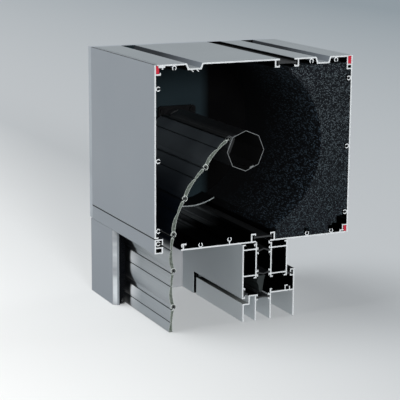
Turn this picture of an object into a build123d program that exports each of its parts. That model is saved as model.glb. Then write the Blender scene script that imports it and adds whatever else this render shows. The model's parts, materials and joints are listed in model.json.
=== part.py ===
from build123d import *
import os
from math import atan2, cos, degrees, hypot, radians, sin, sqrt

# Cut-away corner of an aluminium roller shutter box standing on the head of an inward-opening window.
#
# Sections are drawn in the box's own coordinates, in millimetres: X from the outdoor face inwards, Z up
# from the lintel face (so it is negative everywhere), Y along the box from the cut end to the far end.
# save() moves every node to the part's frame, whose origin is the centre of the lintel face.

os.makedirs("parts", exist_ok=True)

# --- Driving dimensions -------------------------------------------------------------------------------
BOX_DEPTH = 237.0        # outdoor face to indoor face
BOX_HEIGHT = 200.0       # lintel face to underside
RUN = 182.0              # length of the box extrusions
CAP = 8.0                # end cap beyond them
CAP_RIM = 3.0            # rim of the end cap
CAP_RECESS = 3.4         # how deep its outer side is sunk inside the rim
CAP_RIB = 2.4            # thickness of its ribs
HORN_NEAR = 148.0        # near end of the curved inlet plate on its inner face
HORN_PATH = [(96.0, -187.6), (119.0, -188.4), (141.4, -181.2)]    # centre line of that plate
HORN_WALL = 1.4
TOTAL = RUN + CAP
CUT_LEVEL = -289.0       # guide, curtain, frame and sash are sawn off here
SKIN = 1.6               # wall of the box extrusions
PROFILE = 1.5            # wall of the window extrusions
GAP = 0.3                # between faces that only meet in use

PORT_R = 2.6             # screw port, outside
PORT_HOLE_R = 1.6        # screw port, inside
PORT_MOUTH = 1.9         # width of its open side
PORT_SEAT = 4.1          # from the outside of a wall to the port's centre

FRONT_SEAM = -184.5      # joint between the front panel and the profile under it
SEAM_GAP = 0.9           # width of that joint
SLOT_OUT = 9.7           # the shutter slot in the underside, outdoor edge
SLOT_IN = 30.6           # and indoor edge
SEAL_SEAT = 229.8        # outdoor side of the seat that holds the indoor top seal
TOP_BREAK = (146.3, 164.1)       # thermal break of the lintel face, between its two channels
BOTTOM_BREAK = (120.7, 138.2)    # thermal break of the underside

SIDE_PORTS = (-25.0, -101.0, -176.0)     # heights of the ports in the front and rear panels
TOP_PORTS = (22.4, 185.3, 216.0)
BOTTOM_PORTS = (53.7, 184.6, 215.5)
STEM_PORT = 88.4                         # a port that stands on a stem
FREE_PORTS = {(PORT_SEAT, -101.0), (BOX_DEPTH - PORT_SEAT, -101.0)}    # left without a screw

TUBE_X, TUBE_Z = 106.6, -97.3    # axis of the octagonal tube
TUBE_R = 22.3                    # to its corners
TUBE_WALL = 0.6
TUBE_END = 164.0
TUBE_INNER_R = TUBE_R - TUBE_WALL / cos(radians(22.5))     # inside, to the corners
TUBE_FLAT = TUBE_R * cos(radians(22.5))                    # axis to the outside of a flat
SEAM_TURN = -67.5                # the flat that carries the lock seam
HOOK_TURN = 157.5                # the flat that carries the hook rail
HOOK_BORE, HOOK_WALL = 2.6, 0.65
HOOK_MOUTH_TURN, HOOK_MOUTH = -142.0, 5.0
HOOK_END = 150.0

MOTOR_R = 17.0                   # sleeve of the tubular motor
MOTOR_WALL = 1.2
MOTOR_FRONT, MOTOR_BACK = 84.0, 172.0
SHAFT_R = 4.5
WHEEL_NEAR, WHEEL_FAR = 68.0, 80.0       # drive wheel along Y
CROWN_NEAR = 152.0                       # crown along Y, up to the tube's end
HEAD_R = 20.9
HEAD_NEAR, HEAD_FAR = 168.0, 177.0
BRACKET_NEAR = 178.0
BRACKET_HOLES = [(TUBE_X + dx, TUBE_Z + dz) for dx in (-19, 19) for dz in (-19, 19)]
LIMIT_SCREWS = (-10.0, 10.0)               # their offsets across the motor head
LIMIT_SCREW_R = 2.2
LIMIT_SCREW_Y = 174.5
LIMIT_SCREW_TOP = TUBE_Z - HEAD_R + 8.8

ROLL_X, ROLL_Z, ROLL_R = 101.0, -94.5, 98.8     # hollow of the insulation, round the rolled curtain

PITCH = 40.0                     # slat pitch
HANG_X = 22.0                    # the slats hang on this line in the guide
EYE_R, EYE_BORE = 3.1, 2.5       # the eye at a slat's foot
EYE_MOUTH_TURN = -93.0           # it opens downwards
EYE_MOUTH = 3.5                  # width of its open side
BEAD_R, BEAD_BORE = 1.6, 1.1     # the bead at its head, which turns in the eye above
SLAT_RUN = 172.0
SLAT_SHEET = 0.45                # sheet thickness of the roll-formed skin
CREASE = 17.0                    # from a slat's pivot down to the crease in its outdoor face
CREASE_X = -3.7                  # how far the crease stands outdoors of the pivots
CREASE_NOTCH = 1.0               # side of the square whose corner forms the crease
SLAT_LEAN = (71.0, 53.0, 46.0)   # slope of slats 3, 2 and 1 on their way to the tube
LOWEST_JOINT = BOX_HEIGHT + 61.3         # depth of the joint above the slat that is sawn through

FRAME_OUT, FRAME_IN = 104.5, 160.0       # window frame, outdoor and indoor faces
SASH_OUT, SASH_IN = 105.3, 169.5
FRAME_TOP = -201.0                       # frame head's outer edge
FRAME_END = 187.0                        # frame jamb's outer edge
BREAK = (122.0, 139.0)                   # thermal break shared by frame and sash
FRAME_H = 61.5                           # height of the frame section, outdoor side
FRAME_H_IN = 40.4                        # and indoor side
SASH_STEP = 67.4                         # from the frame's outer edge to the sash's outdoor face
SASH_TOP = 58.2                          # to the sash's hidden top
SASH_OVERLAP = 33.4                      # to the sash's overlap on the indoor side
SASH_FOOT = CUT_LEVEL - FRAME_TOP        # to the saw cut

GUIDE_NEAR, GUIDE_FAR = 116.0, 187.0     # guide rail along Y
GUIDE_TOP = -201.0
GUIDE_WALL = 1.6
GUIDE_LIP = 4.6                  # outdoor lip of the guide's slot, from the outdoor face
BRUSH_TIPS = (117.6, 122.2)              # brush strips along Y

HINGE_X, HINGE_Y = 172.5, 159.0          # axis of the sash hinge
HINGE_PIN_R = 3.0
HINGE_R = 5.5
HINGE_TOP, HINGE_FOOT = -243.0, -285.0
KNUCKLES = 5
HINGE_SCREW_LEVELS = (-277.0, -251.0)
LEAF = 2.6                               # face of a leaf, from the profile it is screwed to
RUNNING = 0.05                           # radial play of shafts and pins


# --- Drawing helpers ----------------------------------------------------------------------------------
def slab(x0, x1, z0, z1):
    """Rectangle from corner to corner."""
    return Pos((x0 + x1) / 2, (z0 + z1) / 2) * Rectangle(abs(x1 - x0), abs(z1 - z0))


def strut(x0, z0, x1, z1, thickness):
    """Straight wall between two points."""
    turn = degrees(atan2(z1 - z0, x1 - x0))
    return Pos((x0 + x1) / 2, (z0 + z1) / 2) * Rot(0, 0, turn) * Rectangle(hypot(x1 - x0, z1 - z0), thickness)


def open_ring(x, z, outer, inner, mouth_turn, mouth):
    """Ring with a slot of the given width cut out towards mouth_turn, in degrees."""
    slot = Rot(0, 0, mouth_turn) * Pos(outer, 0) * Rectangle(2 * outer, mouth)
    return Pos(x, z) * (Circle(outer) - Circle(inner) - slot)


def screw_port(x, z, mouth_turn):
    return open_ring(x, z, PORT_R, PORT_HOLE_R, mouth_turn, PORT_MOUTH)


def join(*faces):
    shape = Sketch()
    for face in faces:
        shape += face
    return shape


def run(section, y0=0.0, y1=RUN):
    """Extrudes an X-Z section along the box."""
    return extrude(Plane.XZ.offset(-y0) * section, y1 - y0, dir=(0, 1, 0))


def rise(section, z0, z1):
    """Extrudes an X-Y section upwards."""
    return extrude(Plane.XY.offset(z0) * section, z1 - z0, dir=(0, 0, 1))


def at_tube(section):
    """Moves a section drawn about (0, 0) to the tube's axis."""
    return Pos(TUBE_X, TUBE_Z) * section


def octagon(corner_r):
    return at_tube(RegularPolygon(corner_r, 8))


def on_flat(turn, out, along, thickness, width):
    """Rectangle on one flat of the tube: out from the axis, shifted along the flat."""
    return at_tube(Rot(0, 0, turn) * Pos(out, along) * Rectangle(thickness, width))


def rod(x, z, radius, y0, y1):
    """Round bar along Y."""
    return run(Pos(x, z) * Circle(radius), y0, y1)


def save(name, *solids):
    """Writes one node in the part's own frame."""
    shape = solids[0] if len(solids) == 1 else Compound(children=list(solids))
    export_step(Pos(-BOX_DEPTH / 2, -TOTAL / 2, 0) * shape, f"parts/{name}.step")


# --- Shutter box --------------------------------------------------------------------------------------
def dovetail(x0, x1, depth):
    """Mounting groove sunk into the lintel face; its walls close in towards the bottom."""
    lean = 2.4
    floor = -depth - SKIN
    outer = Polygon((x0 - SKIN, 0), (x0 + lean - SKIN, floor), (x1 - lean + SKIN, floor), (x1 + SKIN, 0),
                    align=None)
    inner = Polygon((x0, 0.1), (x0 + lean, -depth), (x1 - lean, -depth), (x1, 0.1), align=None)
    return outer, inner


def channel(x_web, x_lips, z_plate, z_lip):
    """C-channel that holds one edge of a thermal break: a web, a plate end and a lip."""
    side = 1 if x_lips > x_web else -1
    return join(
        slab(x_web, x_web + side * SKIN, z_plate, z_lip),
        slab(x_web, x_lips, z_plate, z_plate + (SKIN if z_lip > z_plate else -SKIN)),
        slab(x_web, x_lips, z_lip, z_lip + (-SKIN if z_lip > z_plate else SKIN)),
        slab(x_lips - side * 1.2, x_lips, z_lip, z_lip + (-2.6 if z_lip > z_plate else 2.6)),
    )


def front_panel():
    """Outdoor wall, with a seat for the corner seal and three screw ports."""
    seat = join(slab(SKIN, 7.2, -9.6, -11.0), slab(5.9, 7.2, -9.6, -8.4))
    ports = [screw_port(PORT_SEAT, z, 0) for z in SIDE_PORTS]
    lower = FRONT_SEAM + SEAM_GAP / 2
    foot = slab(SKIN, 4.6, lower, lower + 1.4)
    return run(join(slab(0, SKIN, lower, 0), seat, foot, *ports))


def front_lower_profile():
    """Hollow edge profile on the outdoor side of the shutter slot."""
    top, foot = FRONT_SEAM - SEAM_GAP / 2, -200.7
    tube = slab(0, SLOT_OUT, top - 8.6, foot) - slab(SKIN, 8.1, top - 10.0, foot + 1.3)
    wall = slab(0, SKIN, top, foot)
    shelf = slab(0, SLOT_OUT, top - 1.4, top)
    side = slab(SLOT_OUT - 1.3, SLOT_OUT, top - 6.2, top)
    return run(join(tube, wall, shelf, side, screw_port(PORT_SEAT, top - 4.6, 0)))


def top_panel_outer():
    """Outdoor half of the lintel face: a thick edge, a dovetail groove with two barbs, and a channel."""
    web = TOP_BREAK[0] - 5.9
    outer, inner = dovetail(36.8, 54.6, 5.3)
    plate = join(slab(2.4, 5.0, -1.0, 0), slab(4.6, web, -SKIN, 0)) - slab(5.2, 5.8, -0.5, 0.1)
    edge = join(slab(4.6, 12.0, -3.4, -1.0), slab(8.4, 9.8, -5.2, -3.2))
    barbs = [strut(x, -6.6, x + 2.6, -9.0, 0.9) for x in (41.6, 47.8)]
    section = join(plate, edge, outer) - inner
    port = screw_port(TOP_PORTS[0], -PORT_SEAT, -90)
    return run(join(section, port, *barbs, channel(web, TOP_BREAK[0], 0, -9.3)))


def top_panel_inner():
    """Indoor half of the lintel face, with the second dovetail groove."""
    web = TOP_BREAK[1] + 5.7
    outer, inner = dovetail(191.4, 208.6, 6.0)
    section = join(slab(web, SEAL_SEAT - 0.2, -SKIN, 0), outer) - inner
    ports = [screw_port(x, -PORT_SEAT, -90) for x in TOP_PORTS[1:]]
    return run(join(section, channel(web, TOP_BREAK[1], 0, -9.3), *ports))


def break_strip(x0, x1, z):
    """Plastic strip whose dovetailed edges sit in the two channels."""
    edge = 2.4
    return run(join(slab(x0 - edge, x1 + edge, z - 0.9, z + 0.9),
                    slab(x0 - edge, x0 - 0.9, z - 1.7, z + 1.7),
                    slab(x1 + 0.9, x1 + edge, z - 1.7, z + 1.7)))


def rear_panel():
    """Indoor wall, with a closed seat for the top corner seal, a hook for the lower one and three ports."""
    wall = slab(BOX_DEPTH - SKIN, BOX_DEPTH, -199.6, 0)
    seat = slab(SEAL_SEAT, BOX_DEPTH, -15.4, 0) - slab(SEAL_SEAT + 1.4, BOX_DEPTH - SKIN, -9.4, -0.6)
    lower_room = slab(SEAL_SEAT + 1.4, BOX_DEPTH - SKIN, -14.0, -10.8)
    hook = join(slab(229.6, BOX_DEPTH - SKIN, -191.4, -190.2), slab(229.6, 230.8, -195.6, -190.2))
    ports = [screw_port(BOX_DEPTH - PORT_SEAT, z, 180) for z in SIDE_PORTS]
    return run(join(wall, seat - lower_room, hook, *ports))


def bottom_panel_outer():
    """Underside between the shutter slot and the thermal break, with a curved brush lip at the slot."""
    web = BOTTOM_BREAK[0] - 6.1
    plate = slab(SLOT_IN, web, -BOX_HEIGHT, -BOX_HEIGHT + SKIN)
    lip = join(slab(32.6, 34.2, -BOX_HEIGHT, -193.4), slab(31.0, 37.0, -194.0, -192.6),
               slab(31.0, 32.2, -196.4, -192.6), slab(35.8, 37.0, -194.6, -192.6))
    stem = slab(STEM_PORT - 0.7, STEM_PORT + 0.7, -BOX_HEIGHT, -195.4)
    ports = [screw_port(BOTTOM_PORTS[0], -BOX_HEIGHT + PORT_SEAT, 90), screw_port(STEM_PORT, -193.2, 90)]
    return run(join(plate, lip, stem, channel(web, BOTTOM_BREAK[0], -BOX_HEIGHT, -190.0), *ports))


def bottom_panel_inner():
    """Removable indoor half of the underside."""
    web = BOTTOM_BREAK[1] + 6.0
    plate = slab(web, 234.6, -BOX_HEIGHT, -BOX_HEIGHT + SKIN)
    edge = join(slab(226.4, 227.8, -BOX_HEIGHT, -196.0), slab(226.4, 231.6, -197.4, -196.0))
    ports = [screw_port(x, -BOX_HEIGHT + PORT_SEAT, 90) for x in BOTTOM_PORTS[1:]]
    return run(join(plate, edge, channel(web, BOTTOM_BREAK[1], -BOX_HEIGHT, -190.0), *ports))


def corner_seals():
    """Rubber strips in three corners of the box: outdoor top, indoor top and indoor bottom."""
    outdoor_top = run(slab(SKIN + 0.1, 5.2, -9.4, -3.6) + slab(SKIN + 0.1, 4.4, -3.8, -1.2))
    indoor_top = run(slab(SEAL_SEAT + 1.45, BOX_DEPTH - SKIN - 0.05, -9.35, -0.65))
    indoor_bottom = run(slab(231.8, BOX_DEPTH - SKIN - 0.1, -198.2, -191.6))
    return outdoor_top, indoor_top, indoor_bottom


def insulation_block():
    """Foam block on the indoor side, hollowed out round the curtain's roll."""
    left, right, top, foot = 146.0, BOX_DEPTH - SKIN - GAP, -8.2, -198.0
    z_left = ROLL_Z - sqrt(ROLL_R ** 2 - (left - ROLL_X) ** 2)
    x_top = 158.0
    z_top = ROLL_Z + sqrt(ROLL_R ** 2 - (x_top - ROLL_X) ** 2)
    outline = make_face(Curve() + [
        ThreePointArc((left, z_left), (ROLL_X + ROLL_R, ROLL_Z), (x_top, z_top)),
        Polyline((x_top, z_top), (x_top, top), (right, top), (right, foot), (left, foot), (left, z_left)),
    ])
    steps = join(slab(216.6, right + 1, foot - 1, -187.4), slab(222.4, right + 1, -190, -179.4))
    notches = [slab(x - 3.6, x + 3.6, foot - 1, -189.6) for x in BOTTOM_PORTS[1:]]
    channel_notch = slab(x_top - 1, TOP_BREAK[1] + 7.0, -10.4, top + 1)
    corner = slab(BOX_DEPTH - 8.0, right + 1, -16.0, top + 1)
    wall_ports = [slab(229.6, right + 1, z - 3.4, z + 3.4) for z in SIDE_PORTS]
    section = outline - join(steps, channel_notch, corner, *notches, *wall_ports)
    return run(section, 0.6, RUN - GAP)


def cap_screw_places():
    """Every screw port of the box that carries an end cap screw."""
    places = [(PORT_SEAT, z) for z in SIDE_PORTS] + [(BOX_DEPTH - PORT_SEAT, z) for z in SIDE_PORTS]
    places += [(x, -PORT_SEAT) for x in TOP_PORTS]
    places += [(x, -BOX_HEIGHT + PORT_SEAT) for x in BOTTOM_PORTS]
    return [place for place in places if place not in FREE_PORTS]


def inlet_horn():
    """Curved guide plate that stands on the end cap's inner face and keeps the roll off the floor."""
    low = [(x, z - HORN_WALL / 2) for x, z in HORN_PATH]
    high = [(x, z + HORN_WALL / 2) for x, z in HORN_PATH]
    outline = make_face(Curve() + [ThreePointArc(*low), Line(low[2], high[2]),
                                   ThreePointArc(*high), Line(high[0], low[0])])
    return run(outline, HORN_NEAR, RUN)


def end_cap():
    """Far end of the box: a plate with a raised rim, ribs and screw bosses on its outer side."""
    slot = slab(SLOT_OUT + 1, SLOT_IN - 1, -BOX_HEIGHT - 1, -BOX_HEIGHT + 12)
    frame_feet = slab(FRAME_OUT - 1, FRAME_IN + 1, -BOX_HEIGHT - 1, -BOX_HEIGHT + 2.2)
    plate = run(slab(0, BOX_DEPTH, -BOX_HEIGHT, 0) - slot - frame_feet, RUN, TOTAL)
    recess = slab(CAP_RIM, BOX_DEPTH - CAP_RIM, -BOX_HEIGHT + CAP_RIM, -CAP_RIM)
    corners = [(x, z) for x in (0, BOX_DEPTH) for z in (0, -BOX_HEIGHT)]
    ribs = join(*[strut(x, z, TUBE_X, TUBE_Z, CAP_RIB) for x, z in corners],
                slab(0, BOX_DEPTH, TUBE_Z - CAP_RIB / 2, TUBE_Z + CAP_RIB / 2),
                slab(TUBE_X - CAP_RIB / 2, TUBE_X + CAP_RIB / 2, 0, -BOX_HEIGHT),
                at_tube(Rectangle(52, 52)),
                slab(SLOT_OUT - 2, SLOT_IN + 2, -BOX_HEIGHT, -BOX_HEIGHT + 15))
    bosses = [Pos(x, z) * Circle(5.0) for x, z in cap_screw_places()]
    sunk = recess - join(ribs, *bosses)
    cap = plate - run(sunk, TOTAL - CAP_RECESS, TOTAL + 1)
    for x, z in cap_screw_places():
        cap -= rod(x, z, 2.1, RUN - 1, TOTAL + 1)
        cap -= rod(x, z, 3.7, TOTAL - 2.4, TOTAL + 1)
    for x, z in BRACKET_HOLES:
        cap -= rod(x, z, 1.5, RUN - 1, RUN + 5)
    return cap


def pan_screw(x, z, y_head, length, shank, head_r, head_h):
    """Screw along Y, its head at the far side, with a cross recess."""
    body = rod(x, z, shank, y_head - length, y_head) + rod(x, z, head_r, y_head, y_head + head_h)
    cross = join(Pos(x, z) * Rectangle(head_r, 0.8), Pos(x, z) * Rectangle(0.8, head_r))
    return body - run(cross, y_head + head_h - 1.0, y_head + head_h + 1)


def end_cap_screws():
    """Self-tapping screws through the end cap into the ports of the extrusions."""
    return [pan_screw(x, z, TOTAL - 2.3, 22.0, 1.45, 3.3, 2.0) for x, z in cap_screw_places()]


# --- Tube and motor -----------------------------------------------------------------------------------
def octagonal_tube():
    """Roll-formed steel tube with its folded lock seam inside the lower indoor flat."""
    shell = octagon(TUBE_R) - octagon(TUBE_INNER_R)
    seam = on_flat(SEAM_TURN, TUBE_FLAT - TUBE_WALL - 0.6, 0, 1.4, 5.0)
    return run(shell + seam, 0, TUBE_END)


def drive_wheel():
    """Octagonal wheel on the motor's output shaft, which turns the tube."""
    corner_r = TUBE_INNER_R - 0.25
    notch = on_flat(SEAM_TURN, corner_r, 0, 7.0, 6.4)
    lightening = [at_tube(Rot(0, 0, 22.5 + 45 * k) * Pos(12.4, 0) * Circle(2.8)) for k in range(8)]
    section = octagon(corner_r) - notch - join(*lightening) - at_tube(Circle(SHAFT_R))
    return run(section, WHEEL_NEAR, WHEEL_FAR)


def motor_crown():
    """Ring that rides on the motor's head end, turned by the tube, and works its limit switch."""
    corner_r = TUBE_INNER_R - 0.25
    notch = on_flat(SEAM_TURN, corner_r, 0, 6.0, 6.4)
    bore = at_tube(Circle(MOTOR_R + RUNNING))
    ring = run(octagon(corner_r) - notch - bore, CROWN_NEAR, TUBE_END)
    flange = run(octagon(TUBE_R - 0.2) - bore, TUBE_END, TUBE_END + 2.5)
    return ring + flange


def motor_housing():
    """Drawn steel sleeve, closed at the output end but for the shaft."""
    sleeve = run(at_tube(Circle(MOTOR_R) - Circle(MOTOR_R - MOTOR_WALL)), MOTOR_FRONT, MOTOR_BACK)
    front = run(at_tube(Circle(MOTOR_R) - Circle(SHAFT_R + RUNNING)), MOTOR_FRONT, MOTOR_FRONT + 3.0)
    return sleeve + front


def motor_drive_unit():
    """Stator, rotor, brake and gearbox, as the one sealed cartridge that fills the sleeve."""
    inner = MOTOR_R - MOTOR_WALL
    gearbox = run(at_tube(Circle(inner)), 100.0, 124.0)
    stator = run(at_tube(Circle(inner - 0.8)), 124.0, 160.0)
    brake = run(at_tube(Circle(inner - 2.0)), 160.0, 166.0)
    return gearbox + stator + brake


def output_shaft():
    """Shaft from the gearbox through the sleeve's front into the drive wheel."""
    shaft = rod(TUBE_X, TUBE_Z, SHAFT_R, WHEEL_NEAR - 2.0, 99.5)
    collar = rod(TUBE_X, TUBE_Z, 7.0, WHEEL_FAR, MOTOR_FRONT - 0.4)
    return shaft + collar


def motor_head():
    """Plastic head with a square pin for the bracket and wells for the two limit screws."""
    disc = rod(TUBE_X, TUBE_Z, HEAD_R, HEAD_NEAR, HEAD_FAR)
    plug = rod(TUBE_X, TUBE_Z, MOTOR_R - MOTOR_WALL, 166.2, 172.0)
    sleeve_room = run(at_tube(Circle(MOTOR_R) - Circle(MOTOR_R - MOTOR_WALL)), 160.0, MOTOR_BACK)
    pin = run(at_tube(Rectangle(10.0, 10.0)), HEAD_FAR, 181.0)
    head = disc + plug + pin - sleeve_room
    for dx in LIMIT_SCREWS:
        head -= Pos(TUBE_X + dx, LIMIT_SCREW_Y, TUBE_Z - HEAD_R) * Cylinder(LIMIT_SCREW_R + RUNNING, 18)
    return head


def limit_screw(dx):
    """Hexagon-socket adjuster that sets one end position of the curtain."""
    foot = TUBE_Z - sqrt(HEAD_R ** 2 - dx ** 2) - 0.6
    place = Pos(TUBE_X + dx, LIMIT_SCREW_Y)
    return rise(place * Circle(LIMIT_SCREW_R), foot, LIMIT_SCREW_TOP) - rise(
        place * RegularPolygon(1.4, 6), foot - 1, foot + 3)


def motor_bracket():
    """Square plate on the end cap that holds the motor's pin."""
    plate = at_tube(RectangleRounded(48, 48, 4) - Rectangle(10.2, 10.2))
    holes = [Pos(x, z) * Circle(2.1) for x, z in BRACKET_HOLES]
    return run(plate - join(*holes), BRACKET_NEAR, RUN)


def motor_bracket_screws():
    """Four screws that hold the bracket to the end cap, heads inside the box."""
    screws = []
    for x, z in BRACKET_HOLES:
        shank = rod(x, z, 1.45, BRACKET_NEAR - 0.1, RUN + 4.4)
        head = rod(x, z, 3.3, BRACKET_NEAR - 2.1, BRACKET_NEAR)
        cross = join(Pos(x, z) * Rectangle(3.4, 0.8), Pos(x, z) * Rectangle(0.8, 3.4))
        screws.append(shank + head - run(cross, BRACKET_NEAR - 3.0, BRACKET_NEAR - 1.1))
    return screws


# --- Curtain ------------------------------------------------------------------------------------------
def joints():
    """Pivots of the curtain, from the top of the sawn slat (index 5) up to the tube (index 0)."""
    places = {5: (HANG_X, -LOWEST_JOINT)}
    for index, lean in zip((4, 3, 2, 1, 0), (90, 90) + SLAT_LEAN):
        x, z = places[index + 1]
        places[index] = (x + PITCH * cos(radians(lean)), z + PITCH * sin(radians(lean)))
    return places


JOINTS = joints()


def slat_outline(length):
    """Closed body of a slat hanging from (0, 0) towards -Z, its outdoor side towards -X."""
    top, foot = -3.0, -length
    outdoor_top, crease, outdoor_foot = (-2.7, top), (CREASE_X, -CREASE), (-3.2, foot)
    indoor_foot, indoor_top = (0.9, foot), (0.6, top - 1.0)
    return make_face(Curve() + [
        ThreePointArc(outdoor_top, (-3.9, (top - CREASE) / 2), crease),
        ThreePointArc(crease, (-5.3, (crease[1] + foot) / 2 + 1.0), outdoor_foot),
        Line(outdoor_foot, indoor_foot),
        ThreePointArc(indoor_foot, (-1.5, (indoor_foot[1] + indoor_top[1]) / 2), indoor_top),
        Line(indoor_top, outdoor_top),
    ])


def slat_sections(sawn):
    """Skin and foam core of one slat in its own coordinates; a sawn slat ends open at the cut level."""
    crease = Pos(CREASE_X, -CREASE) * Rot(0, 0, 45)
    body = slat_outline(PITCH - 2.6)
    core = offset(body, -SLAT_SHEET) - crease * Rectangle(*[CREASE_NOTCH + 2 * SLAT_SHEET] * 2)
    body -= crease * Rectangle(CREASE_NOTCH, CREASE_NOTCH)
    neck = join(strut(-0.2, -BEAD_R + 0.4, -1.3, -4.2, 1.1), strut(-1.2, -3.9, -2.2, -3.6, 1.0))
    skin = join(body - core, Circle(BEAD_R) - Circle(BEAD_BORE), neck - Circle(BEAD_BORE))
    if sawn:
        keep = slab(-20, 20, LOWEST_JOINT + CUT_LEVEL, 20)
        return skin & keep, (core - skin) & keep
    eye = open_ring(0, -PITCH, EYE_R, EYE_BORE, EYE_MOUTH_TURN, EYE_MOUTH)
    bore = Pos(0, -PITCH) * Circle(EYE_BORE)
    cover = join(strut(-2.85, -PITCH + 3.0, -3.0, -PITCH - 1.6, 0.6),
                 slab(-3.0, -1.0, -PITCH + 2.0, -PITCH + 3.0))
    skin = join(skin, eye, cover) - bore
    return skin, core - skin


def slat(index):
    """Skin and core of slat 1 (at the tube) to 6 (sawn), in place."""
    x, z = JOINTS[index - 1]
    lean = 90.0
    if index <= 5:
        x_foot, z_foot = JOINTS[index]
        lean = degrees(atan2(z - z_foot, x - x_foot))
    skin, core = slat_sections(sawn=(index == 6))
    place = Pos(x, z) * Rot(0, 0, lean - 90.0)
    return run(place * skin, 0, SLAT_RUN), run(place * core, 0, SLAT_RUN)


def hook_rail():
    """Hook profile on the tube that the top slat's bead hangs in, with play for the roll's shape."""
    x, z = JOINTS[0]
    hook = open_ring(x, z, HOOK_BORE + HOOK_WALL, HOOK_BORE, HOOK_MOUTH_TURN, HOOK_MOUTH)
    out = TUBE_FLAT + 0.05 + HOOK_WALL / 2
    foot = on_flat(HOOK_TURN, out, -2.0, HOOK_WALL, 13.6)
    fold = on_flat(HOOK_TURN - 45.0, out, 6.4, HOOK_WALL, 4.8)
    return run(join(hook, foot, fold) - Pos(x, z) * Circle(HOOK_BORE) - octagon(TUBE_R + 0.05), 0, HOOK_END)


# --- Guide rail ---------------------------------------------------------------------------------------
def guide_section():
    """X-Y section: a slot for the curtain's edge in front and a deep foot back to the window frame."""
    wall = GUIDE_WALL
    face_near = 120.5                    # where the outdoor face turns into the slanted nose
    lip = GUIDE_LIP                      # outdoor lip of the slot
    inner = SLOT_IN + 1.0                # indoor lip of the slot
    slot_end = 177.0                     # web that closes the slot
    brush_seat = GUIDE_NEAR + 8.0        # far side of the brush grooves
    step = GUIDE_NEAR + 17.0             # near side of the middle chamber
    middle = 54.4                        # its indoor wall
    foot_near = 156.0                    # near side of the foot
    rear = FRAME_OUT - 0.2               # it stops just short of the window frame
    nose = join(strut(0.8, face_near + 0.3, lip + 0.8, GUIDE_NEAR + 1.0, wall),
                slab(lip, lip + wall, GUIDE_NEAR, brush_seat),
                slab(lip, 11.2, brush_seat - wall, brush_seat),
                slab(lip, lip + 2.8, GUIDE_NEAR, GUIDE_NEAR + 1.4))
    slot = join(slab(lip, lip + wall, brush_seat - wall, GUIDE_FAR),
                slab(inner, inner + wall, GUIDE_NEAR, GUIDE_FAR),
                slab(inner - 3.0, inner + wall, brush_seat - wall, brush_seat),
                slab(inner - 3.0, inner + wall, GUIDE_NEAR, GUIDE_NEAR + 1.4),
                slab(lip, inner + wall, slot_end, slot_end + wall),
                slab(0, lip + wall, 152.0, 152.0 + wall))
    chambers = join(slab(inner, middle + wall, step, step + wall),
                    slab(middle, middle + wall, step, GUIDE_FAR),
                    slab(middle, rear, foot_near, foot_near + wall),
                    slab(79.2, 79.2 + wall, foot_near, GUIDE_FAR),
                    slab(rear - wall, rear, foot_near, GUIDE_FAR))
    shell = join(slab(0, wall, face_near, GUIDE_FAR), slab(0, rear, GUIDE_FAR - wall, GUIDE_FAR))
    return join(shell, nose, slot, chambers)


def guide_rail():
    return rise(guide_section(), CUT_LEVEL, GUIDE_TOP)


def guide_brushes():
    """Two pile strips that run on the curtain's edges, one on each lip of the slot."""
    outer = slab(GUIDE_LIP + GUIDE_WALL + 0.5, 16.0, *BRUSH_TIPS)
    inner = slab(25.6, 30.9, *BRUSH_TIPS)
    return rise(outer, CUT_LEVEL, GUIDE_TOP), rise(inner, CUT_LEVEL, GUIDE_TOP)


def guide_inlet():
    """Black plastic funnel that leads the curtain's edge from the box into the guide."""
    z_low, z_high, z_throat = GUIDE_TOP, -186.0, -193.0
    x0, x1 = SLOT_OUT + GAP, SLOT_IN - GAP
    throat = (13.6, 27.6)
    far = 176.5
    body = rise(slab(x0, x1, GUIDE_NEAR, RUN - GAP), z_low, z_high)
    room = rise(slab(*throat, GUIDE_NEAR - 1, far), z_low - 1, z_high + 1)
    flare = Polygon((throat[0], z_throat), (x0 + 0.6, z_high + 0.1), (x1 - 0.6, z_high + 0.1),
                    (throat[1], z_throat), align=None)
    return body - room - run(flare, GUIDE_NEAR - 1, far)


# --- Window frame and sash ----------------------------------------------------------------------------
def frame_outer_section():
    """Outdoor half of the frame, drawn with its outer edge at height 0 and the opening below."""
    x0, x1, t = FRAME_OUT, BREAK[0], PROFILE
    return join(
        slab(x0, x0 + t, -FRAME_H, -0.4), slab(x0, x0 + 3.6, -1.8, -0.4),
        slab(x0, x1 + 1.8, -7.2, -5.8), slab(x0, x1 + 1.8, -36.8, -35.4),
        slab(x1 - t, x1, -39.6, -0.2),
        slab(x1 - 3.4, x1, -1.6, -0.4), slab(x1 - 3.4, x1 - 2.2, -3.0, -0.4),
        slab(x1 - t, x1 + 2.2, -11.6, -10.4), slab(x1 + 1.0, x1 + 2.2, -12.6, -10.4),
        slab(x1 - t, x1 + 2.2, -32.6, -31.4), slab(x1 + 1.0, x1 + 2.2, -32.6, -30.4),
        slab(x1 + 0.6, x1 + 1.8, -7.2, -4.6), slab(x1 + 0.6, x1 + 1.8, -38.2, -35.4),
        slab(x1 - 3.4, x1, -39.6, -38.4),
        slab(x0, x0 + 3.6, -50.6, -49.4), slab(x0 + 2.4, x0 + 3.6, -51.8, -49.4),
        slab(x0, x0 + 3.6, -FRAME_H, -FRAME_H + 1.2), slab(x0 + 2.4, x0 + 3.6, -FRAME_H, -FRAME_H + 2.4),
        slab(x1 - 1.0, x1, -0.4, 1.4),
    )


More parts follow.
